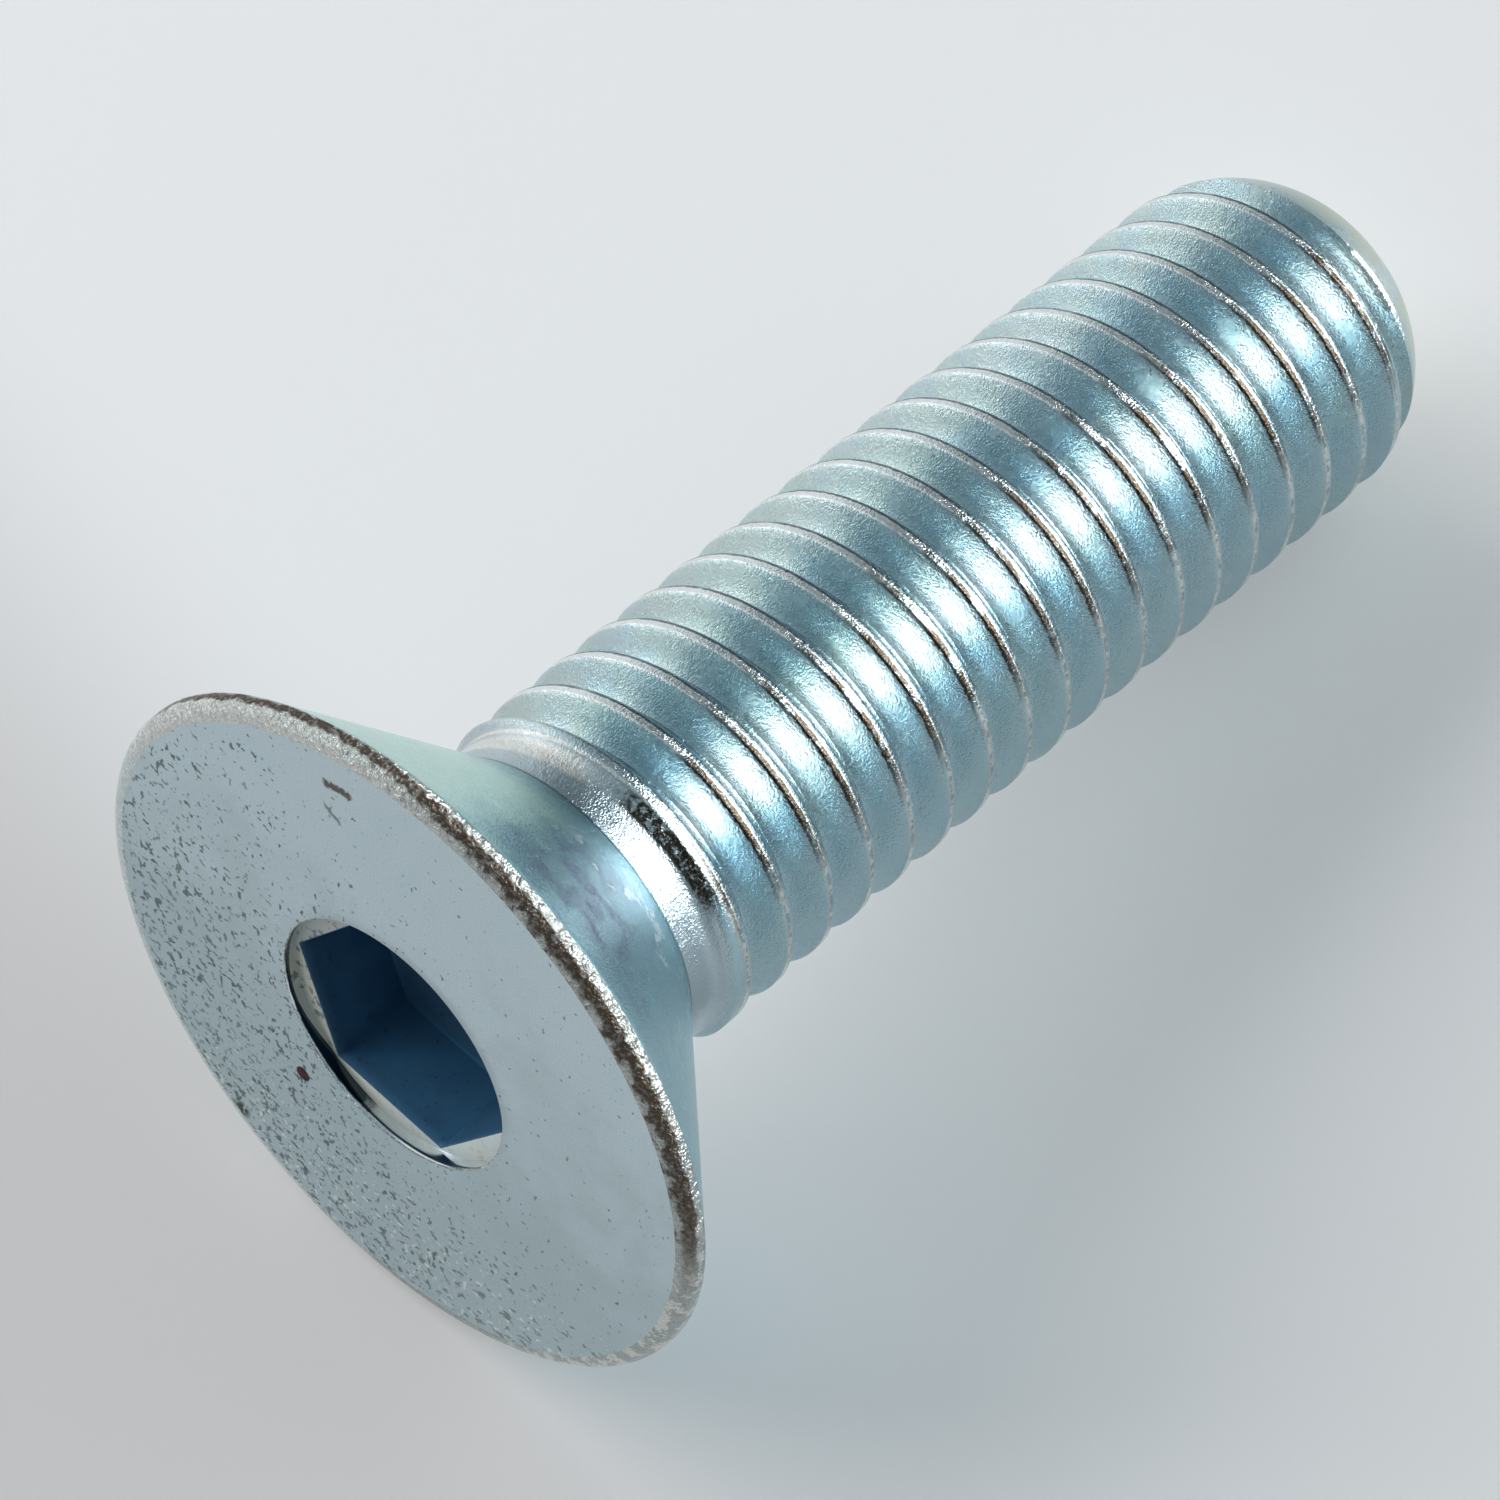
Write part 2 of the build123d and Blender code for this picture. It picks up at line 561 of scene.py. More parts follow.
@dataclass(frozen=True)
class WornRimWithPaintedLight:
    """The head's rounded rim: hammered, with a painted reflection and ivory specks of painted highlight on
    its upper side, grey painted shade and ivory blotches on its lower side, and a brown band of painted
    dark reflection.
    """

    rim_end: float
    relief: float = 0.00014
    zinc: Colour = (0.60, 0.69, 0.69)
    ivory: Colour = (0.86, 0.87, 0.82)
    bright: Colour = (0.86, 0.96, 0.96)
    umber: Colour = (0.11, 0.085, 0.065)
    grey: Colour = (0.38, 0.41, 0.39)
    # turns where the rim gets ivory specks of painted highlight
    painted_light_strip: Band = (-0.20, 0.17, 0.04)
    # turns where the rim's upper side gets a painted reflection
    bright_strip: Band = (-0.46, -0.02, 0.03)
    blotched_strip: Band = (0.21, 0.42, 0.03)
    # turns and width of the rim's painted dark reflection
    rim_dark_reflection_strip: Band = (-0.17, 0.24, 0.03)
    rim_dark_reflection_across: Band = (0.0, 0.50, 0.08)

    def material(self) -> Material:
        """Build the finish.

        Returns:
            The material.
        """
        graph = Graph.named("worn_rim_with_painted_light")
        lie = Lie.on(graph)
        lumps = graph.noise(lie.place, 3.0, 4.0, 0.65)
        fine = graph.noise(lie.place, 9.0, 3.0, 0.6)
        across = lie.z / self.rim_end + (lumps - 0.5) * 0.8
        painted_light = lie.strip(self.painted_light_strip, lumps, 0.1)
        upper = lie.strip(self.bright_strip)
        # painted reflection: the rim's upper side brighter; the grey mottle below is weaker there
        colour = graph.mix(upper * 0.8, self.zinc, self.bright)
        # painted highlight: ivory specks on the rim's upper front
        colour = graph.mix(painted_light * fine.between(0.38, 0.52, 0.5, 1.0), colour, self.ivory)
        colour = graph.mix(fine.between(0.50, 0.56) * (0.7 - upper * 0.45), colour, self.grey)
        # painted shade: grey over the rim's lower side
        colour = graph.mix(lie.turn.between(-0.03, 0.05) * 0.55, colour, self.grey)
        blotches = lie.strip(self.blotched_strip) * (lumps + (fine - 0.5) * 0.5).between(0.50, 0.54)
        colour = graph.mix(blotches * 0.85, colour, self.ivory)
        # painted dark reflection: an umber band across the rim, moving with the turn
        shift = lie.turn.between(-0.05, 0.06, 0.50, 0.05)
        rim_dark_reflection = (across - shift).band(*self.rim_dark_reflection_across) * lie.strip(self.rim_dark_reflection_strip)
        colour = graph.mix(rim_dark_reflection * fine.between(0.40, 0.50, 0.75, 1.0), colour, self.umber)
        return graph.metal(colour, rim_dark_reflection.between(0.0, 1.0, 0.22, 0.45), lumps + fine * 0.6, self.relief)


@dataclass(frozen=True)
class SatinFace:
    """The head's pressed face: duller zinc with fine pits, a dent, a scratch, a chip and a rust spot."""

    relief: float = 0.00003
    relief_strength: float = 0.55
    zinc: Colour = (0.52, 0.65, 0.69)
    dull: Colour = (0.30, 0.38, 0.40)
    pale: Colour = (0.67, 0.82, 0.87)
    soot_and_shade: Colour = (0.17, 0.21, 0.20)
    fleck: Colour = (0.86, 0.92, 0.92)
    green_black: Colour = (0.02, 0.04, 0.02)
    rust: Colour = (0.05, 0.006, 0.003)
    umber: Colour = (0.10, 0.07, 0.05)
    dent_strip: Band = (-0.0535, -0.036, 0.0015)
    dent_ring: Band = (6.71, 6.90, 0.03)
    scratch_strip: Band = (-0.0575, -0.048, 0.001)
    scratch_ring: Band = (3.99, 4.13, 0.03)
    scratch_slant: float = 37.0
    chip_spot: Spot = (7.42, -148.5, 0.10, 0.22)
    rust_spot: Spot = (4.04, -146.0, 0.17, 0.03)

    def material(self) -> Material:
        """Build the finish.

        Returns:
            The material.
        """
        graph = Graph.named("satin_zinc_face")
        lie = Lie.on(graph)
        broad = graph.noise(lie.place, 0.35, 3.0, 0.55, 0.6)
        patchy = graph.noise(lie.place, 1.0, 4.0, 0.65, 0.4)
        fine = graph.noise(lie.place, 8.0, 3.0, 0.6)
        grain = graph.noise(lie.place, 24.0, 3.0, 0.6)
        colour = graph.mix((lie.x * 0.075 + broad + patchy * 0.7).between(0.5, 1.25), self.zinc, self.pale)
        colour = graph.mix(grain.between(0.35, 0.70) * 0.22, colour, self.dull)

        worn = (lie.y * -0.045 + lie.x * -0.035 + patchy).between(0.25, 0.95, 0.0, 0.11)
        leaning = graph.stretched(lie.place, (1.0, 0.75, 1.0), turn=(0.0, 0.0, 0.9))
        upright = graph.stretched(lie.place, (0.6, 1.0, 1.0), turn=(0.0, 0.0, 0.3), shift=(3.1, 9.4, 0.0))
        pits = (graph.noise(leaning, 7.5, 2.0, 0.5) + worn).between(0.685, 0.735)
        pits = pits.either((graph.noise(upright, 5.0, 2.0, 0.5) + worn).between(0.705, 0.75))
        colour = graph.mix(pits * patchy.between(0.35, 0.6, 0.5, 0.85), colour, self.soot_and_shade)

        low = lie.x.between(-6.0, -1.0, 0.15, 0.0)
        slanted = graph.stretched(lie.place, (1.0, 0.6, 1.0), turn=(0.0, 0.0, 0.5))
        moved = graph.stretched(lie.place, shift=(5.0, 2.0, 0.0))
        strokes = graph.noise(slanted, 4.5, 3.0, 0.55) + low
        nicks = graph.noise(moved, 5.0, 3.0, 0.6) + low
        colour = graph.mix(strokes.between(0.74, 0.77) * 0.75, colour, self.soot_and_shade)
        colour = graph.mix(nicks.between(0.75, 0.78) * 0.75, colour, self.fleck)

        ragged = lie.radius + (fine - 0.5) * 0.3
        dent = lie.strip(self.dent_strip) * ragged.band(*self.dent_ring)
        colour = graph.mix(dent * 0.92, colour, self.umber)
        scratch = (ragged + lie.turn * self.scratch_slant).band(*self.scratch_ring)
        colour = graph.mix(lie.strip(self.scratch_strip) * scratch * 0.8, colour, self.soot_and_shade)
        chip = lie.spot(*self.chip_spot) * fine.between(0.35, 0.5)
        colour = graph.mix(chip * 0.95, colour, self.green_black)
        colour = graph.mix(lie.spot(*self.rust_spot), colour, self.rust)

        rough = patchy.between(0.3, 0.7, 0.32, 0.42) + pits * 0.2
        height = grain * 0.35 + fine * 0.6 - pits * 1.2 - dent * 2.0
        return graph.metal(colour, rough, height, self.relief, self.relief_strength)


@dataclass(frozen=True)
class RecessRing:
    """The recess round the hexagon: a flat cream ring and a polished wall, with a painted dark reflection
    on one side.
    """

    wall_from: float
    cream: Colour = (0.66, 0.68, 0.61)
    cool: Colour = (0.58, 0.65, 0.65)
    soot_and_shade: Colour = (0.10, 0.11, 0.10)
    # colour of the wall's painted dark reflection
    wall_dark_reflection: Colour = (0.07, 0.09, 0.10)
    bright: Colour = (0.80, 0.84, 0.86)
    foot: float = 0.40
    foot_rise: float = 0.24
    rise_strip: Band = (-0.37, -0.10, 0.06)
    wall_dark_reflection_strip: Band = (-0.47, -0.10, 0.015)

    def material(self) -> Material:
        """Build the finish.

        Returns:
            The material.
        """
        graph = Graph.named("burnished_recess")
        lie = Lie.on(graph)
        drift = graph.noise(lie.place, 0.5, 2.0, 0.5)
        spots = graph.noise(lie.place, 5.0, 3.0, 0.6)
        foot = lie.strip(self.rise_strip) * -self.foot_rise + self.foot
        above_foot = (lie.z - foot).between(-0.01, 0.01, 1.0, 0.0)
        on_wall = lie.radius.between(self.wall_from, self.wall_from + 0.01) * above_foot
        colour = graph.mix(drift.between(0.4, 0.6), self.cream, self.cool)
        flecks = spots.between(0.57, 0.62) * lie.y.between(-2.4, -1.2, 1.0, 0.25)
        colour = graph.mix(flecks * 0.7, colour, self.soot_and_shade)
        # painted dark reflection of the hexagon on one side of the wall, below its top edge
        side = lie.strip(self.wall_dark_reflection_strip, spots, 0.06)
        edge = (lie.z + (spots - 0.5) * 0.1).between(0.05, 0.09)
        wall = graph.mix(side * edge, self.bright, self.wall_dark_reflection)
        colour = graph.mix(on_wall, colour, wall)
        rough = on_wall.between(0.0, 1.0, 0.45, 0.15)
        metal = on_wall.between(0.0, 1.0, 0.35, 1.0)
        return graph.surface(Base_Color=colour, Metallic=metal, Roughness=rough)


@dataclass(frozen=True)
class NavyFlats:
    """The hexagon's flats and floor, deep navy, with painted shade on one flat, on the floor and towards
    the mouth.
    """

    socket_depth: float
    deep: Colour = (0.050, 0.150, 0.27)
    blue: Colour = (0.058, 0.178, 0.32)
    shade: Colour = (0.020, 0.055, 0.10)
    # turns of the flat that gets painted shade
    painted_shade_flat: Band = (0.262, 0.4285, 0.004)
    shaded_from: float = 0.30
    shaded_to: float = 1.40

    def material(self) -> Material:
        """Build the finish.

        Returns:
            The material.
        """
        graph = Graph.named("navy_flats")
        lie = Lie.on(graph)
        mottle = graph.noise(lie.place, 1.2, 3.0, 0.55)
        specks = graph.noise(lie.place, 6.0, 3.0, 0.6).between(0.62, 0.68)
        colour = graph.mix(mottle.between(0.35, 0.65), self.deep, self.blue)
        # the specks are the navy's own; one flat is darkened with painted shade
        for share in (specks * 0.5, lie.strip(self.painted_shade_flat) * 0.7,
                      # painted shade: the floor darker, and the flats darker towards the mouth
                      lie.z.between(self.socket_depth, self.socket_depth + 0.04) * 0.4,
                      lie.z.between(self.shaded_from, self.shaded_to, 0.35, 0.0)):
            colour = graph.mix(share, colour, self.shade)
        return graph.surface(Base_Color=colour, Metallic=0.0, Roughness=0.4, Specular_IOR_Level=0.2)


@dataclass(frozen=True)
class Paper:
    """Pale paper with a painted shadow towards one side, that looks lighter to the eye and in mirrors."""

    light: Colour = (0.785, 0.79, 0.80)
    shade: Colour = (0.49, 0.485, 0.49)
    toward: tuple[float, float] = (-1.0, 0.15)
    near: float = 0.006
    far: float = 0.018
    glow: Colour = (0.19, 0.18, 0.175)
    dark: Colour = (0.0, 0.0, 0.0)
    relief: float = 0.00004

    def material(self) -> Material:
        """Build the finish.

        Returns:
            The material.
        """
        graph = Graph.named("pale_paper")
        where = graph.node("ShaderNodeTexCoord", None, out="Object")
        x, y, _ = graph.parts(where)
        # painted shadow: the paper darker towards one side
        share = (x * self.toward[0] + y * self.toward[1]).between(self.near, self.far)
        colour = graph.mix(share, self.light, self.shade)
        camera, glossy, through = (graph.node("ShaderNodeLightPath", None, out=f"Is {kind} Ray")
                                   for kind in ("Camera", "Glossy", "Transmission"))
        glow = graph.mix(camera.either(glossy).either(through), self.dark, self.glow)
        fibres = graph.noise(graph.stretched(where, (1 / MM, 1 / MM, 1 / MM)), 4.0, 4.0, 0.6)
        bump = graph.node("ShaderNodeBump", None, Strength=0.15, Distance=self.relief, Height=fibres)
        return graph.surface(Base_Color=colour, Roughness=0.9, Normal=bump, Emission_Color=glow,
                             Emission_Strength=1.0)


# ---- the screw ----


class Finish(IntEnum):
    """The finishes on the screw, in the order of its material slots."""

    PLATED = 0
    FACE = 1
    RECESS = 2
    NAVY = 3
    RIM = 4


@dataclass
class Placing:
    """Where the screw lies: its own frame, read from its drive socket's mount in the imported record."""

    centre: Vector
    along: Vector

    @classmethod
    def of_record(cls, record: dict[str, Any]) -> "Placing":
        """Read the place.

        Args:
            record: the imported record.

        Returns:
            The place of the head's face and the way from it to the point.
        """
        mount = next(m for m in record["mounts"] if m["name"] == "drive_socket")
        return cls(Vector(mount["pos_m"]), -Vector(mount["axis"]).normalized())

    def matrix(self) -> Matrix:
        """The move from the screw's own frame, with x on its upper side and z to the point.

        Returns:
            The matrix, in metres.
        """
        upward = (Vector((0, 0, 1)) - self.along * self.along.z).normalized()
        sideways = self.along.cross(upward)
        turn = Matrix((upward, sideways, self.along)).transposed().to_4x4()
        return Matrix.Translation(self.centre) @ turn


def meshed(name: str, shape: BMesh) -> Mesh:
    """Make a mesh of a shape.

    Args:
        name: the mesh's name.
        shape: the shape.

    Returns:
        The mesh.
    """
    mesh = bpy.data.meshes.new(name)
    shape.to_mesh(mesh)
    shape.free()
    return mesh


def put(name: str, data: Any) -> Object:
    """Put a thing into the scene.

    Args:
        name: its name.
        data: a mesh, lamp or camera.

    Returns:
        The thing.
    """
    thing = bpy.data.objects.new(name, data)
    bpy.context.scene.collection.objects.link(thing)
    return thing


def line(start: tuple[float, float], end: tuple[float, float], count: int) -> Outline:
    """Points evenly along a straight stretch of a turned outline.

    Args:
        start: radius and distance of the first point.
        end: radius and distance of the last point.
        count: how many points.

    Returns:
        The points.
    """
    shares = [place / max(1, count - 1) for place in range(count)]
    return [(start[0] + (end[0] - start[0]) * s, start[1] + (end[1] - start[1]) * s) for s in shares]


def chain(shape: BMesh, points: Outline) -> list[Any]:
    """Put a half outline into a mesh as a chain of edges.

    Args:
        shape: the mesh.
        points: radius and distance of each vertex.

    Returns:
        The vertices and edges.
    """
    verts = [shape.verts.new((radius, 0.0, at)) for radius, at in points]
    edges = [shape.edges.new(pair) for pair in zip(verts, verts[1:])]
    return verts + edges


def rim_loop(shape: BMesh, at: float) -> list[BMEdge]:
    """The open edges of a mesh that lie at one distance from the face.

    Args:
        shape: the mesh.
        at: the distance in millimetres.

    Returns:
        The edges.
    """
    return [edge for edge in shape.edges
            if len(edge.link_faces) == 1 and all(abs(v.co.z - at) < NEAR for v in edge.verts)]


def spread(vertex: BMVert, factor: float) -> None:
    """Move a vertex out from the axis or in to it."""
    vertex.co.x *= factor
    vertex.co.y *= factor


@dataclass
class Head:
    """The head and the plain collar under it. Lengths are in millimetres, from the head's face."""

    radius: float = 7.995
    face_edge: float = 7.59
    rim_height: float = 0.42
    rim_round: float = 0.3
    rim_rings: int = 8
    cone_rings: int = 24
    collar_radius: float = 3.7
    collar_cut: float = 5.0  # where the head's mesh is bridged to the thread's
    neck_round: float = 0.12
    neck_foot: float = 0.06
    across_flats: float = 5.0
    socket_depth: float = 2.3
    socket_floor_angle: float = 120.0
    socket_corner: float = 34.5
    recess_radius: float = 3.0
    recess_depth: float = 0.34
    recess_lean: float = 0.01
    edge_round: float = 0.03
    floor_gap: float = 0.05
    columns: int = 168

    @property
    def neck(self) -> float:
        """How far from the face the cone meets the collar."""
        return self.rim_height + self.radius - self.collar_radius

    def outline(self) -> Outline:
        """The half outline from the recess's ring round to the collar.

        Returns:
            Radius and distance of each ring.
        """
        rings = line((self.recess_radius - self.recess_lean, self.recess_depth),
                     (self.recess_radius, self.edge_round), 4)
        rings += line((self.recess_radius + self.edge_round, 0.0), (self.face_edge, 0.0), 14)
        for place in range(1, self.rim_rings + 1):
            angle = pi / 2 * place / self.rim_rings
            rings.append((self.face_edge + (self.radius - self.face_edge) * sin(angle),
                          self.rim_round * (1 - cos(angle))))
        rings += line((self.radius, self.rim_height),
                      (self.collar_radius + self.neck_round, self.neck - self.neck_round), self.cone_rings)
        rings += line((self.collar_radius + self.neck_foot / 3, self.neck),
                      (self.collar_radius, self.neck + self.neck_foot), 3)
        rings.append((self.collar_radius, self.collar_cut))
        return rings

    def hexagon(self) -> Outline:
        """The half outline of the socket's flats, up to the ring's inner edge.

        Returns:
            Radius and distance of each ring, across the flats.
        """
        flats = self.across_flats / 2
        rings = line((flats, self.socket_depth), (flats, self.recess_depth + self.edge_round), 10)
        rings.append((flats + self.edge_round, self.recess_depth))
        return rings

    def floor(self) -> Outline:
        """The half outline of the hollow cone under the flats.

        Returns:
            Radius and distance of each ring.
        """
        flats = self.across_flats / 2
        slope = tan(radians(self.socket_floor_angle / 2))
        return line((0.0, self.socket_depth + flats / slope),
                    (flats - self.floor_gap, self.socket_depth + self.floor_gap / slope), 7)

    def turn(self, shape: BMesh) -> None:
        """Turn the head into a mesh and press its hexagon.

        Args:
            shape: the mesh.
        """
        outline = chain(shape, self.floor() + self.hexagon() + self.outline())
        start = Matrix.Rotation(radians(self.socket_corner), 4, "Z")
        bmesh.ops.transform(shape, matrix=start, verts=shape.verts)
        bmesh.ops.spin(shape, geom=outline, cent=(0, 0, 0), axis=(0, 0, 1), dvec=(0, 0, 0),
                       angle=2 * pi, steps=self.columns, use_merge=True)
        middle = [v for v in shape.verts if hypot(v.co.x, v.co.y) < HAIR]
        bmesh.ops.remove_doubles(shape, verts=middle, dist=NEAR)
        for vertex in shape.verts:
            off_flats = abs(hypot(vertex.co.x, vertex.co.y) - self.across_flats / 2)
            if off_flats <= self.edge_round + HAIR and vertex.co.z > self.recess_depth - HAIR:
                azimuth = degrees(atan2(vertex.co.y, vertex.co.x))
                off_middle = (azimuth - self.socket_corner) % 60 - 30
                spread(vertex, 1 / cos(radians(off_middle)))
        for face in shape.faces:
            face.material_index = int(self.finish_at(face.calc_center_median()))

    def finish_at(self, middle: Vector) -> Finish:
        """The finish of a face of the mesh.

        Args:
            middle: the face's middle.

        Returns:
            The finish.
        """
        radius = hypot(middle.x, middle.y)
        if radius < self.recess_radius + self.edge_round and middle.z > self.edge_round:
            return Finish.NAVY if middle.z > self.recess_depth + NEAR else Finish.RECESS
        if middle.z < HAIR:
            return Finish.FACE
        return Finish.RIM if middle.z < self.rim_height else Finish.PLATED


@dataclass
class Thread:
    """The rolled thread and the rounded point. Lengths are in millimetres, from the head's face."""

    pitch: float = 1.25
    flank_angle: float = 60.0
    crest_radius: float = 3.95
    root_radius: float = 3.23
    crest_flat: float = 0.26
    crest_phase: float = 7.12
    crest_rounding: float = 0.09
    root_rounding: float = 0.22
    runout_angle: float = 200.0
    runout_rise: float = 1.5
    runout_clear: float = 0.05
    start: float = 6.07  # the first groove's middle, where it begins to climb out
    collar_radius: float = 3.7
    rise_from: float = 5.4
    rise_to: float = 5.85
    cut_from: float = 5.06
    margin: float = 0.1
    length: float = 29.5
    point_start: float = 26.9
    point_radius: float = 2.6
    end_round: float = 0.11
    end_steps: Outline = field(default_factory=lambda: [  # inwards and onwards, to the middle of the end
        (0.07, 0.05), (0.08, 0.035), (0.12, 0.025), (0.6, 0.0), (0.8, 0.0)])
    columns: int = 176
    offsets: tuple[float, ...] = (0.0, 0.03, 0.06, 0.09, 0.125, 0.17, 0.24, 0.34, 0.44, 0.54, 0.625)

    def rows(self) -> list[float]:
        """Distances of the rows of one upright line, closer together near each crest.

        Returns:
            The distances.
        """
        low = self.cut_from - (1 + self.margin) * self.pitch
        high = self.length + self.margin
        first = int((low - self.crest_phase) / self.pitch) - 2
        last = int((high - self.crest_phase) / self.pitch) + 2
        rows = {round(self.crest_phase + self.pitch * count + side * offset, 5)
                for count in range(first, last + 1) for offset in self.offsets for side in (-1, 1)}
        return [row for row in sorted(rows) if low <= row <= high]

    def envelope(self, at: float) -> float:
        """The blank's radius at a distance from the face.

        Args:
            at: the distance.

        Returns:
            The radius: collar, rise, shank and domed point.
        """
        share = min(1.0, max(0.0, (at - self.rise_from) / (self.rise_to - self.rise_from)))
        rise = self.crest_radius - self.collar_radius
        shank = self.collar_radius + rise * share * share * (3 - 2 * share)
        if at <= self.point_start:
            return shank
        reach = self.length - self.point_start
        drop = self.crest_radius - self.point_radius
        dome = (reach * reach + drop * drop) / (2 * drop)
        past = min(reach, at - self.point_start)
        return self.crest_radius - dome + sqrt(dome * dome - past * past)

    def depth(self, at: float, azimuth: float) -> float:
        """How deep the rolled groove is at a point of the shank.

        Args:
            at: distance from the face.
            azimuth: degrees round from the upper side.

        Returns:
            The depth below the crests.
        """
        turns = (at - self.crest_phase) / self.pitch - azimuth / 360
        nearest = round(turns)
        slope = 1 / tan(radians(self.flank_angle / 2))
        half = self.crest_flat / 2 * slope
        crown = self.larger(-half, 0.0, self.crest_rounding)
        flank = abs(turns - nearest) * self.pitch * slope - half
        depth = self.larger(flank, 0.0, self.crest_rounding) - crown
        depth = -self.larger(-depth, self.root_radius - self.crest_radius, self.root_rounding)
        groove = nearest + (0.5 if turns > nearest else -0.5)
        centre = self.crest_phase + self.pitch * (groove + azimuth / 360)
        back = 360 * (self.start - centre) / self.pitch / self.runout_angle
        height = self.crest_radius - self.root_radius + self.runout_clear
        return max(0.0, depth - height * min(1.0, max(0.0, back)) ** self.runout_rise)

    @staticmethod
    def larger(first: float, second: float, rounding: float) -> float:
        """The larger number, rounded where the two cross."""
        return 0.5 * (first + second + hypot(first - second, rounding))

    def roll(self, shape: BMesh) -> None:
        """Roll the thread: a helical sheet, its radii set by the groove, trimmed and closed.

        Args:
            shape: the empty mesh.
        """
        sheet = chain(shape, [(self.crest_radius, at) for at in self.rows()])
        bmesh.ops.spin(shape, geom=sheet, cent=(0, 0, 0), axis=(0, 0, 1),
                       dvec=(0, 0, self.pitch / self.columns), angle=2 * pi, steps=self.columns)
        bmesh.ops.remove_doubles(shape, verts=shape.verts, dist=NEAR)
        for vertex in shape.verts:
            azimuth = degrees(atan2(vertex.co.y, vertex.co.x))
            rolled = self.crest_radius - self.depth(vertex.co.z, azimuth)
            spread(vertex, min(self.envelope(vertex.co.z), rolled) / hypot(vertex.co.x, vertex.co.y))
        end = self.length - self.end_round
        for at, way in ((self.cut_from, -1), (end, 1)):
            bmesh.ops.bisect_plane(shape, geom=shape.verts[:] + shape.edges[:] + shape.faces[:],
                                   dist=HAIR / 10, plane_co=(0, 0, at), plane_no=(0, 0, way),
                                   clear_outer=True)
        self.close(shape, end)

    def close(self, shape: BMesh, end: float) -> None:
        """Round the end's edge and close the flat end.

        Args:
            shape: the mesh.
            end: the distance at which the sheet is cut.
        """
        loop = rim_loop(shape, end)
        for inward, onward in self.end_steps:
            grown = bmesh.ops.extrude_edge_only(shape, edges=loop)["geom"]
            end += onward
            for vertex in (part for part in grown if isinstance(part, BMVert)):
                radius = hypot(vertex.co.x, vertex.co.y)
                spread(vertex, (radius - inward) / radius)
                vertex.co.z = end
            loop = [part for part in grown if isinstance(part, BMEdge)]
        last = list({vertex for edge in loop for vertex in edge.verts})
        bmesh.ops.pointmerge(shape, verts=last, merge_co=(0, 0, end))


@dataclass
class Screw:
    """The whole screw: one headed and rolled piece."""

    placing: Placing
    head: Head = field(default_factory=Head)
    thread: Thread = field(default_factory=Thread)
    sharp_edge: float = 50.0  # degrees, past which an edge is shaded sharp

    def body(self) -> Object:
        """Roll the thread, turn the head, join them and lay them where the screw lies.

        Returns:
            The screw.
        """
        shape = bmesh.new()
        self.thread.roll(shape)
        turned = bmesh.new()
        self.head.turn(turned)
        part = meshed("turned_head", turned)
        shape.from_mesh(part)
        bpy.data.meshes.remove(part)
        ends = rim_loop(shape, self.head.collar_cut) + rim_loop(shape, self.thread.cut_from)
        bmesh.ops.bridge_loops(shape, edges=ends)
        bmesh.ops.recalc_face_normals(shape, faces=shape.faces)
        mesh = meshed("screw_body", shape)
        place = mesh.attributes.new("place", "FLOAT_VECTOR", "POINT")
        place.data.foreach_set("vector", [number for vertex in mesh.vertices for number in vertex.co])
        mesh.transform(self.placing.matrix() @ Matrix.Scale(MM, 4))
        mesh.polygons.foreach_set("use_smooth", [True] * len(mesh.polygons))
        mesh.set_sharp_from_angle(angle=radians(self.sharp_edge))
        return put("screw_body", mesh)

    def dress(self, screw: Object) -> None:
        """Give the screw its finishes.

        Args:
            screw: the screw.
        """
        head, thread = self.head, self.thread
        finishes = {
            Finish.PLATED: ZincPlate(thread.pitch, thread.crest_phase, thread.rise_to, thread.point_start,
                                     head.rim_height, head.neck),
            Finish.FACE: SatinFace(),
            Finish.RECESS: RecessRing(head.recess_radius - 0.02),
            Finish.NAVY: NavyFlats(head.socket_depth),
            Finish.RIM: WornRimWithPaintedLight(head.rim_height),
        }
        for finish in sorted(finishes):
            screw.data.materials.append(finishes[finish].material())

    def build(self) -> None:
        """Build and dress the screw."""
        screw = self.body()
        self.dress(screw)
        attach(screw, "root")
        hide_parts("countersunk_screw")
        log.info("%s: %d faces", screw.name, len(screw.data.polygons))


# ---- the studio ----


@dataclass(frozen=True)
class SoftBox:
    """One soft lamp: the way to it from the screw's middle in degrees, its size in metres, its power."""

    name: str
    heading: float
    height: float
    distance: float
    width: float
    depth: float
    watts: float
    lights_paper: bool = True
    mirrored: bool = True

    def build(self, middle: Vector) -> None:
        """Hang the lamp.

        Args:
            middle: the point that it shines at.
        """
        heading, height = radians(self.heading), radians(self.height)
        way = Vector((cos(height) * cos(heading), cos(height) * sin(heading), sin(height)))
        lamp = bpy.data.lights.new(self.name, "AREA")
        lamp.shape = "RECTANGLE"
        lamp.size = self.width
        lamp.size_y = self.depth
        lamp.energy = self.watts
        holder = put(self.name, lamp)
        holder.location = middle + way * self.distance
        holder.rotation_euler = (-way).to_track_quat("-Z", "Y").to_euler()
        holder.visible_diffuse = self.lights_paper
        holder.visible_glossy = self.mirrored
        log.info("lamp %s", self.name)


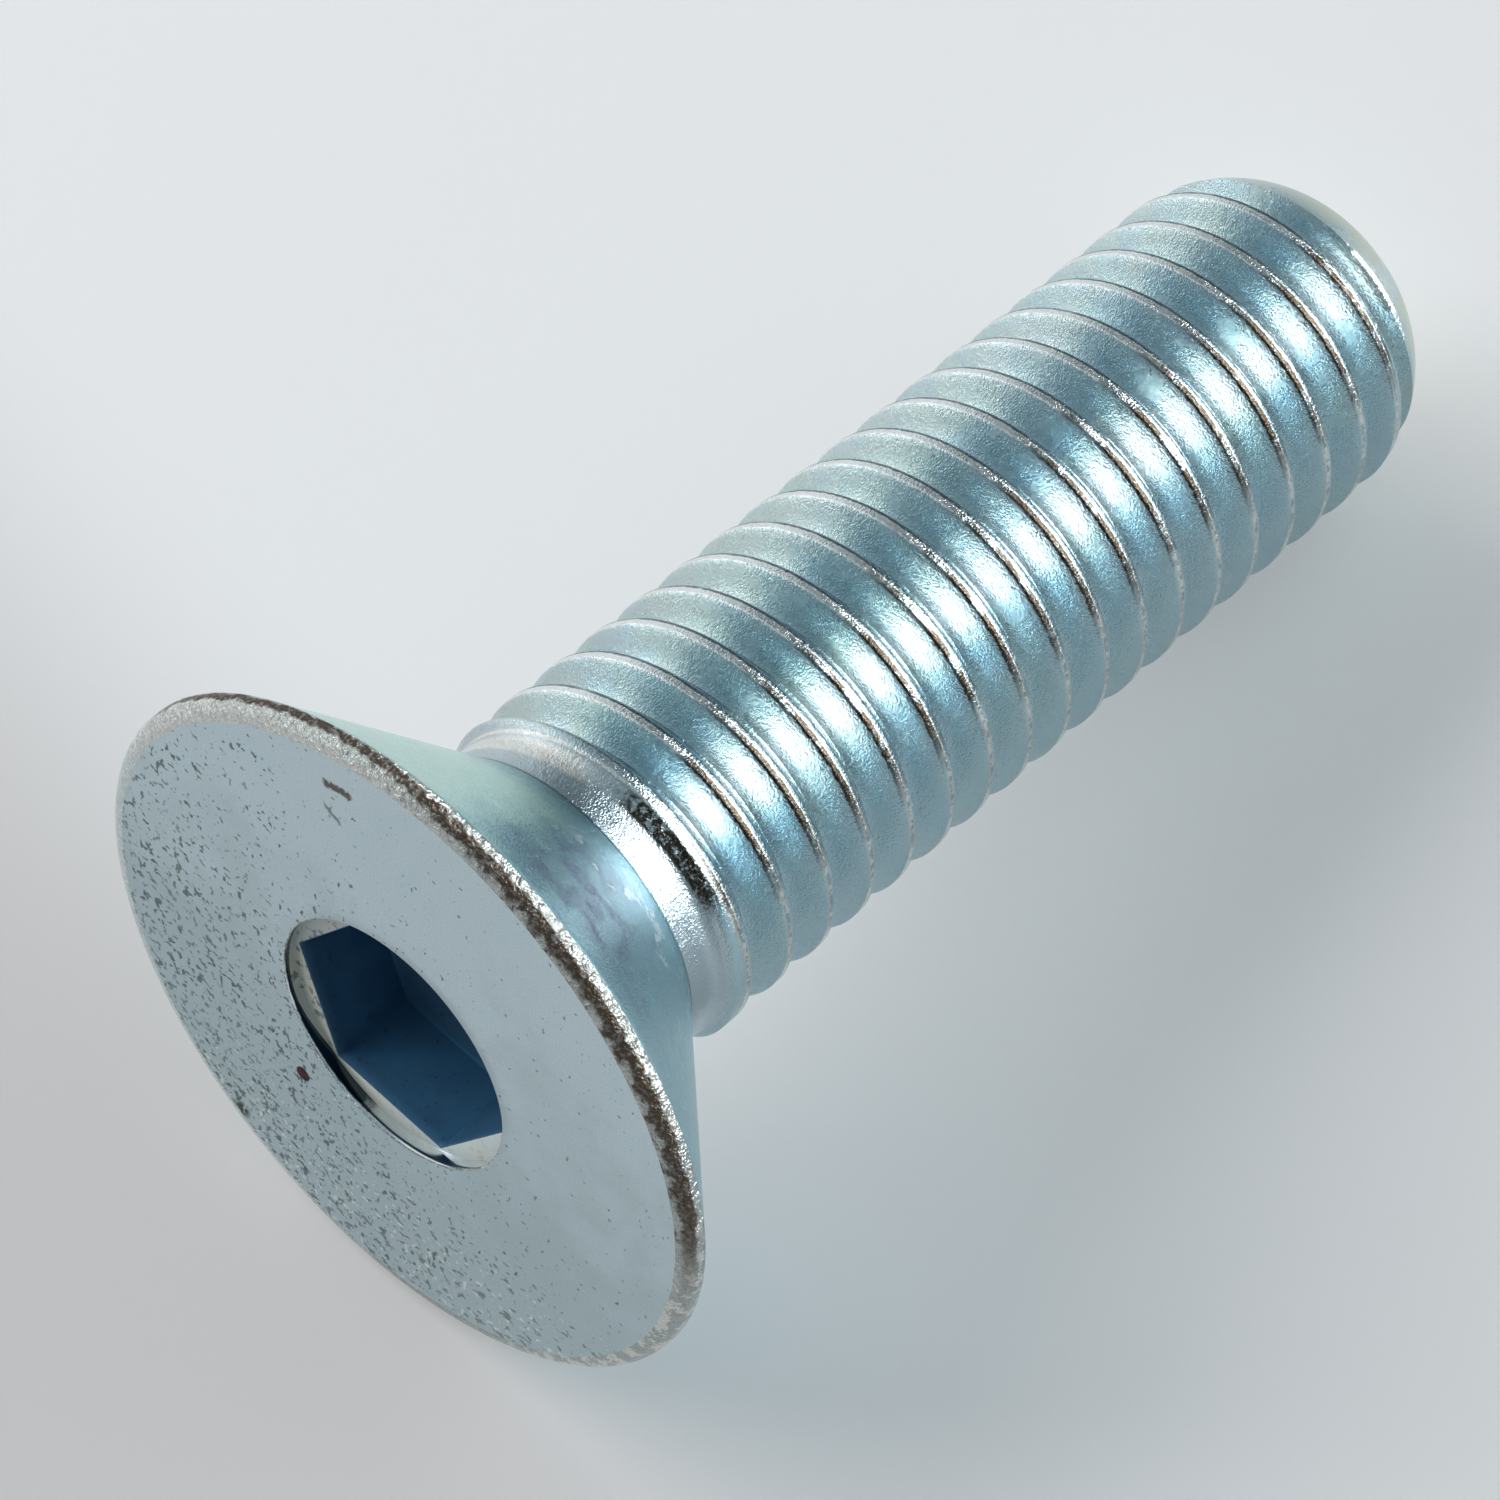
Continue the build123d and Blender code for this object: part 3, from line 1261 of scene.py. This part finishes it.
@dataclass(frozen=True)
class Studio:
    """The paper floor, the soft lamps, the dim room round them and the camera.

    Each wall has a colour, the way to its middle, and how nearly a look faces it where it begins and where
    it is full. The camera's place is in millimetres from the head's face.
    """

    placing: Placing
    ceiling: Colour = (0.30, 0.36, 0.39)
    walls: tuple[tuple[Colour, Way, float, float], ...] = (
        ((0.80, 0.84, 0.86), (0.15, 0.93, 0.33), 0.66, 0.92),
        ((0.07, 0.09, 0.10), (0.60, 0.35, 0.72), 0.80, 0.97),
        ((0.05, 0.045, 0.04), (-0.62, -0.55, 0.56), 0.82, 0.94),
    )
    paper_half: float = 1.5
    lens: float = 137.0
    clip_start: float = 0.01
    looks_down: float = 58.388
    heading: float = 42.506
    depth: float = 112.535
    face_left: float = 7.079
    face_below: float = 5.831
    lamps: tuple[SoftBox, ...] = (
        SoftBox("window", 110.0, 32.0, 0.5, 0.52, 0.40, 2.1, mirrored=False),
        SoftBox("window_strip", 115.0, 14.0, 0.5, 0.34, 0.07, 0.25),
        SoftBox("softbox", -42.0, 35.0, 0.4, 0.19, 0.21, 2.9, lights_paper=False),
    )

    def floor(self) -> None:
        """Lay the paper."""
        shape = bmesh.new()
        bmesh.ops.create_grid(shape, x_segments=4, y_segments=4, size=self.paper_half)
        mesh = meshed("paper_floor", shape)
        mesh.materials.append(Paper().material())
        put("paper_floor", mesh)

    def world(self) -> None:
        """Light the room evenly: a dim ceiling, one bright wall and two dark ones."""
        graph = Graph(bpy.data.worlds.new("room"))
        way = graph.node("ShaderNodeTexCoord", None, out="Generated")
        colour: Any = self.ceiling
        for wall, toward, begins, full in self.walls:
            faced = graph.node("ShaderNodeVectorMath", {"operation": "DOT_PRODUCT"}, way, toward,
                               out="Value")
            colour = graph.mix(faced.between(begins, full), colour, wall)
        light = graph.node("ShaderNodeBackground", None, colour, 1.0)
        bpy.context.scene.world = graph.finish(light, "ShaderNodeOutputWorld")

    def camera(self) -> None:
        """Stand the camera."""
        heading, down = radians(self.heading), radians(self.looks_down)
        forward = Vector((cos(down) * cos(heading), cos(down) * sin(heading), -sin(down)))
        right = forward.cross(Vector((0, 0, 1))).normalized()
        up = right.cross(forward)
        lens = bpy.data.cameras.new("camera")
        lens.lens = self.lens
        lens.clip_start = self.clip_start
        camera = put("camera", lens)
        back = right * self.face_left + up * self.face_below - forward * self.depth
        camera.location = self.placing.centre + back * MM
        camera.rotation_euler = Matrix((right, up, -forward)).transposed().to_euler()
        bpy.context.scene.camera = camera

    def build(self, middle: Vector) -> None:
        """Set up the studio.

        Args:
            middle: the middle of the screw.
        """
        self.floor()
        self.world()
        for lamp in self.lamps:
            lamp.build(middle)
        self.camera()
        bpy.context.scene.view_settings.view_transform = "Standard"


def main() -> None:
    """Build the screw and the studio."""
    logging.basicConfig(level=logging.INFO)
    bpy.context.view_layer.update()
    low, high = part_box("countersunk_screw")
    placing = Placing.of_record(frame["record"])
    Screw(placing).build()
    Studio(placing).build((low + high) / 2)


if __name__ == "__main__":
    main()
